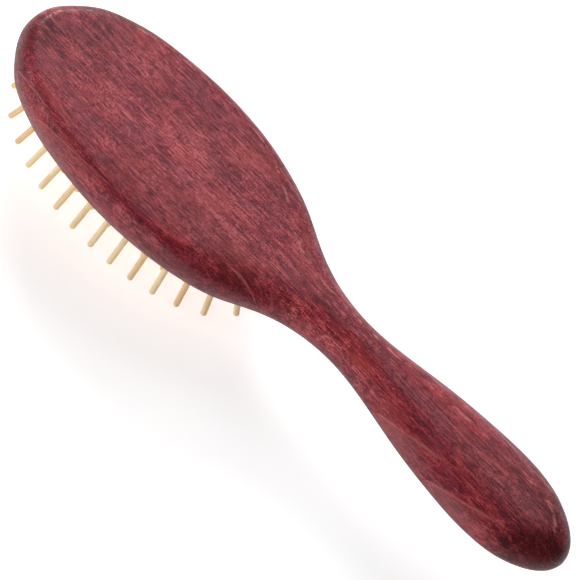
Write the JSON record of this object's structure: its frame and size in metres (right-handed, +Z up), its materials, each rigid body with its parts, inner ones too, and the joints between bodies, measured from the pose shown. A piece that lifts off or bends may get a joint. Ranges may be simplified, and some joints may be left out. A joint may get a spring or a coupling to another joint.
{
  "type": "hairbrush",
  "caption": "Oval hairbrush with a flat-backed wooden head, a round handle, a domed rubber air cushion and rings of splayed round-tipped wooden pins.",
  "frame": {"origin": "on the floor under the middle of the brush's box, at the height of the lowest pin tips", "axes": "+X along the brush towards the handle's end, +Z up out of the flat back, pins pointing down, +Y across the head"},
  "size_m": [0.225, 0.0574, 0.0388],
  "materials": {
    "stained_beech": "beech stained burgundy, satin",
    "rubber": "matt natural red rubber",
    "pin_wood": "turned pale wood, waxed"
  },
  "bodies": {
    "brush": {"brush_body": "stained_beech", "rubber_cushion": "rubber"},
    "centre_pins": {"centre_pin_1": "pin_wood", "centre_pin_2": "pin_wood", "centre_pin_3": "pin_wood", "centre_pin_4": "pin_wood", "centre_pin_5": "pin_wood", "centre_pin_6": "pin_wood", "centre_pin_7": "pin_wood", "centre_pin_8": "pin_wood"},
    "inner_pins": {"inner_pin_01": "pin_wood", "inner_pin_02": "pin_wood", "inner_pin_03": "pin_wood", "inner_pin_04": "pin_wood", "inner_pin_05": "pin_wood", "inner_pin_06": "pin_wood", "inner_pin_07": "pin_wood", "inner_pin_08": "pin_wood", "inner_pin_09": "pin_wood", "inner_pin_10": "pin_wood", "inner_pin_11": "pin_wood", "inner_pin_12": "pin_wood", "inner_pin_13": "pin_wood", "inner_pin_14": "pin_wood", "inner_pin_15": "pin_wood", "inner_pin_16": "pin_wood", "inner_pin_17": "pin_wood", "inner_pin_18": "pin_wood", "inner_pin_19": "pin_wood", "inner_pin_20": "pin_wood", "inner_pin_21": "pin_wood"},
    "outer_pins": {"outer_pin_01": "pin_wood", "outer_pin_02": "pin_wood", "outer_pin_03": "pin_wood", "outer_pin_04": "pin_wood", "outer_pin_05": "pin_wood", "outer_pin_06": "pin_wood", "outer_pin_07": "pin_wood", "outer_pin_08": "pin_wood", "outer_pin_09": "pin_wood", "outer_pin_10": "pin_wood", "outer_pin_11": "pin_wood", "outer_pin_12": "pin_wood", "outer_pin_13": "pin_wood", "outer_pin_14": "pin_wood", "outer_pin_15": "pin_wood", "outer_pin_16": "pin_wood", "outer_pin_17": "pin_wood", "outer_pin_18": "pin_wood", "outer_pin_19": "pin_wood", "outer_pin_20": "pin_wood", "outer_pin_21": "pin_wood", "outer_pin_22": "pin_wood", "outer_pin_23": "pin_wood", "outer_pin_24": "pin_wood", "outer_pin_25": "pin_wood", "outer_pin_26": "pin_wood", "outer_pin_27": "pin_wood", "outer_pin_28": "pin_wood"}
  },
  "joints": [
    {"name": "cushion_press", "type": "slide", "parent": "brush", "child": "centre_pins", "axis": [0, 0, 1], "range_m": [0, 0.004], "stiffness_N_per_m": 300, "deforming": ["rubber_cushion"]},
    {"name": "inner_pins_sink", "type": "slide", "parent": "brush", "child": "inner_pins", "axis": [0, 0, 1], "range_m": [0, 0.00348], "stiffness_N_per_m": 700},
    {"name": "outer_pins_sink", "type": "slide", "parent": "brush", "child": "outer_pins", "axis": [0, 0, 1], "range_m": [0, 0.00137], "stiffness_N_per_m": 1000}
  ],
  "couplings": [
    {"joint": "inner_pins_sink", "follows": "cushion_press", "ratio": 0.8645},
    {"joint": "outer_pins_sink", "follows": "cushion_press", "ratio": 0.3364}
  ]
}
